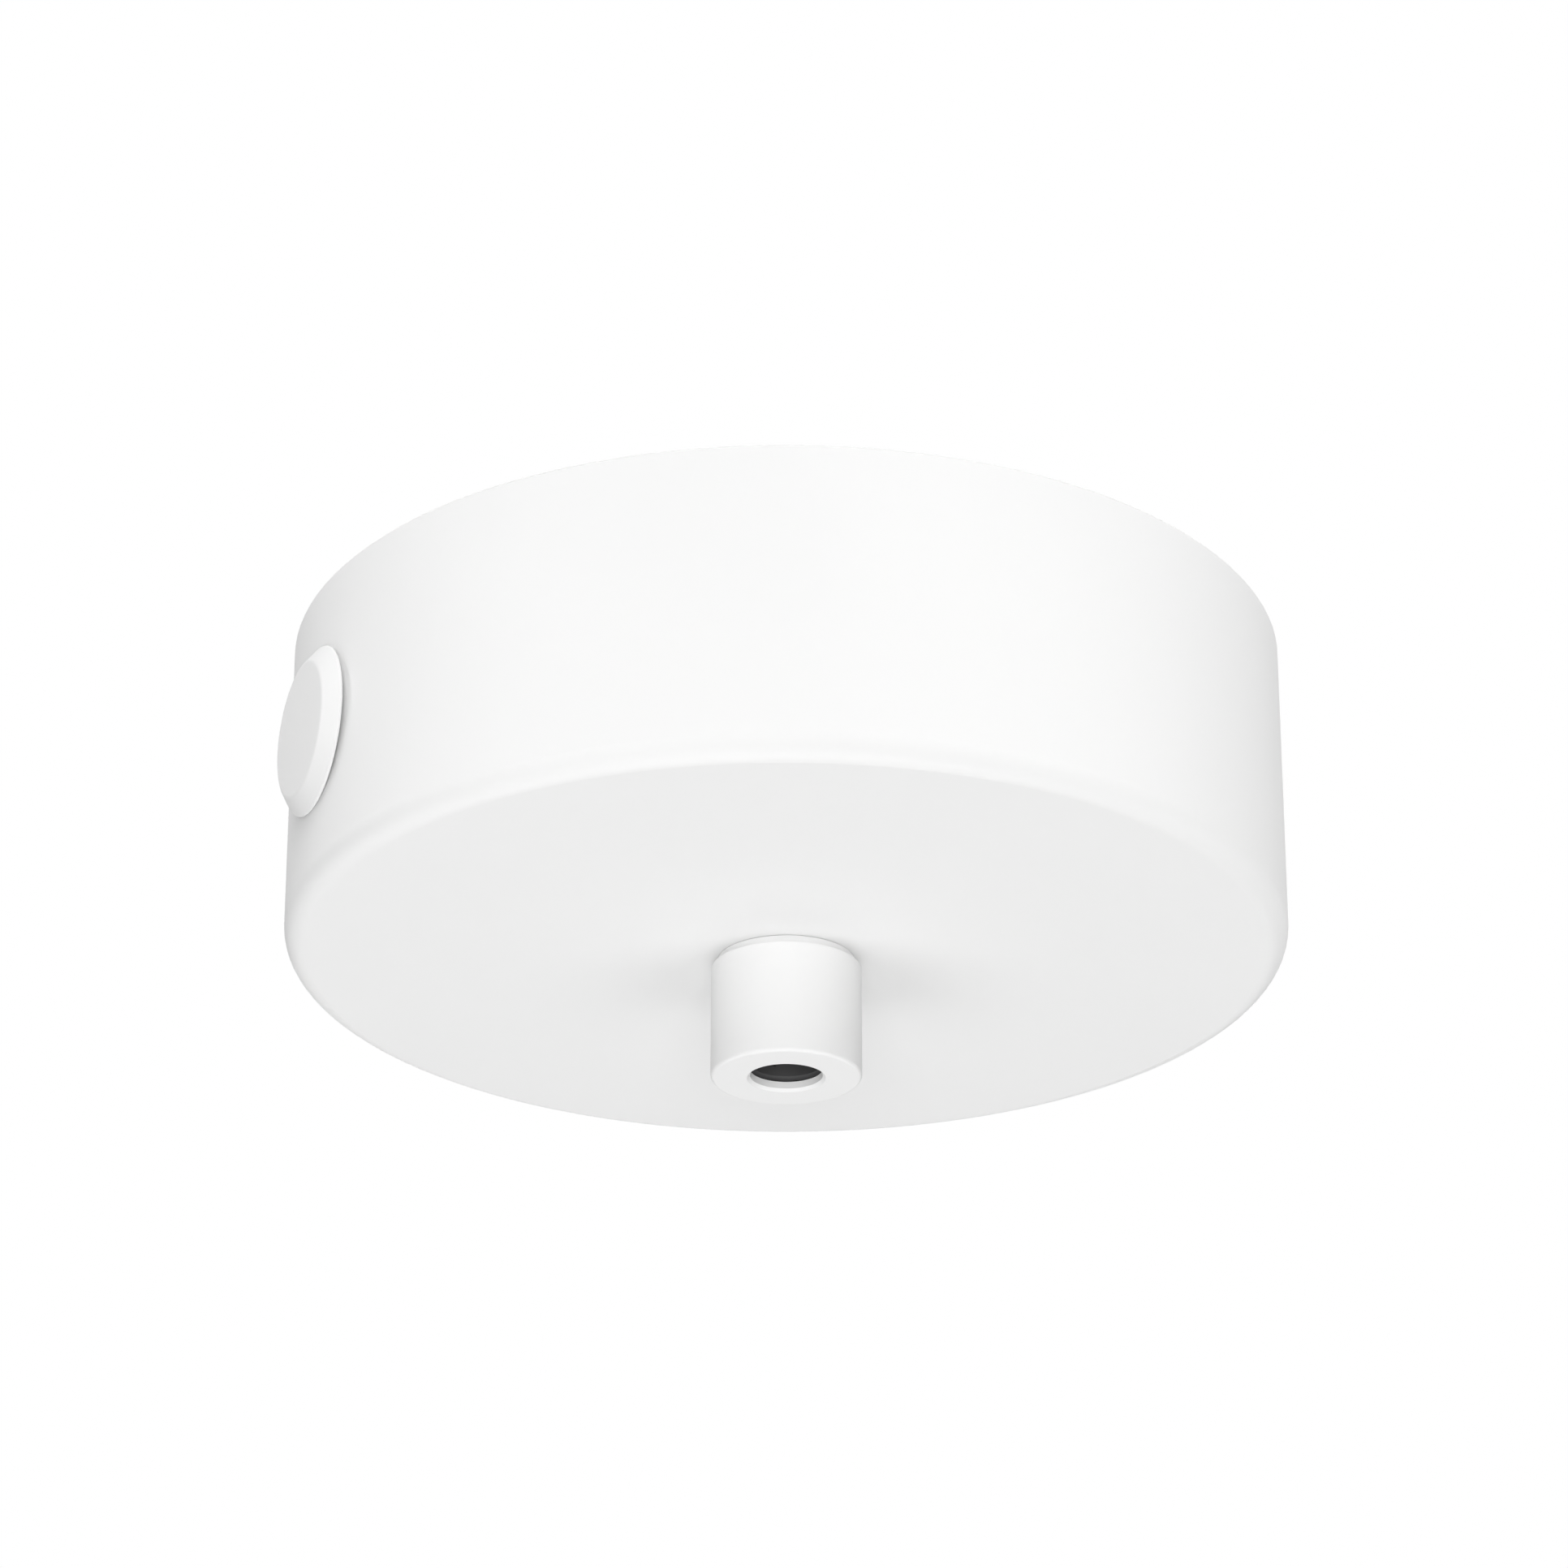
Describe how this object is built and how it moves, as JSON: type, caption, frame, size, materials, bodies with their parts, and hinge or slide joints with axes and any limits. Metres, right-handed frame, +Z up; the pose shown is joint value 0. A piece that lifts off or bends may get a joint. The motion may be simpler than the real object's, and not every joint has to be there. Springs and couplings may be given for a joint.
{
  "type": "electrical ceiling rose",
  "caption": "Round white ceiling rose for a pendant flex: a straight-walled cup held to a strap bracket by disc-headed side screws, with a screw-down cord grip and a terminal block inside.",
  "frame": {"origin": "centre of the ceiling face, midway between the two ceiling slots", "axes": "+Z up into the ceiling, +X along the strap bracket and the side screws, +Y towards the terminal block"},
  "size_m": [0.1034, 0.1, 0.0445],
  "materials": {
    "white_coat": "satin white powder coat on steel",
    "zinc_sheet": "galvanised sheet steel",
    "plated_steel": "bright zinc plate",
    "brass": "plain drawn brass",
    "block_nylon": "moulded natural nylon",
    "black_nylon": "moulded black nylon"
  },
  "bodies": {
    "canopy": {"canopy_cup": "white_coat", "ceiling_bracket": "zinc_sheet", "bracket_press_nuts": "plated_steel", "grip_core": "plated_steel", "grip_lock_washer": "plated_steel", "grip_lock_nut": "plated_steel", "terminal_block": "block_nylon", "terminal_tube_live": "brass", "terminal_tube_neutral": "brass", "terminal_tube_earth": "brass", "terminal_screws": "plated_steel", "block_screw": "plated_steel", "earth_screw": "plated_steel", "earth_clamp_plate": "brass", "earth_spring_washer": "plated_steel"},
    "left_screw": {"left_side_screw": "white_coat"},
    "right_screw": {"right_side_screw": "white_coat"},
    "clamp_ring": {"grip_clamp_ring": "black_nylon"},
    "cap": {"grip_cap": "white_coat"}
  },
  "joints": [
    {"name": "left_screw_out", "type": "slide", "parent": "canopy", "child": "left_screw", "axis": [-1, 0, 0], "range_m": [0, 0.0075]},
    {"name": "right_screw_out", "type": "slide", "parent": "canopy", "child": "right_screw", "axis": [1, 0, 0], "range_m": [0, 0.0075]},
    {"name": "clamp_drop", "type": "slide", "parent": "canopy", "child": "clamp_ring", "axis": [0, 0, -1], "range_m": [0, 0.006]},
    {"name": "cap_turn", "type": "hinge", "parent": "clamp_ring", "child": "cap", "pos_m": [0, 0, -0.04], "axis": [0, 0, -1], "range_deg": [0, 2160]}
  ],
  "couplings": [
    {"joint": "cap_turn", "follows": "clamp_drop", "rad_per_m": 6283.2}
  ]
}
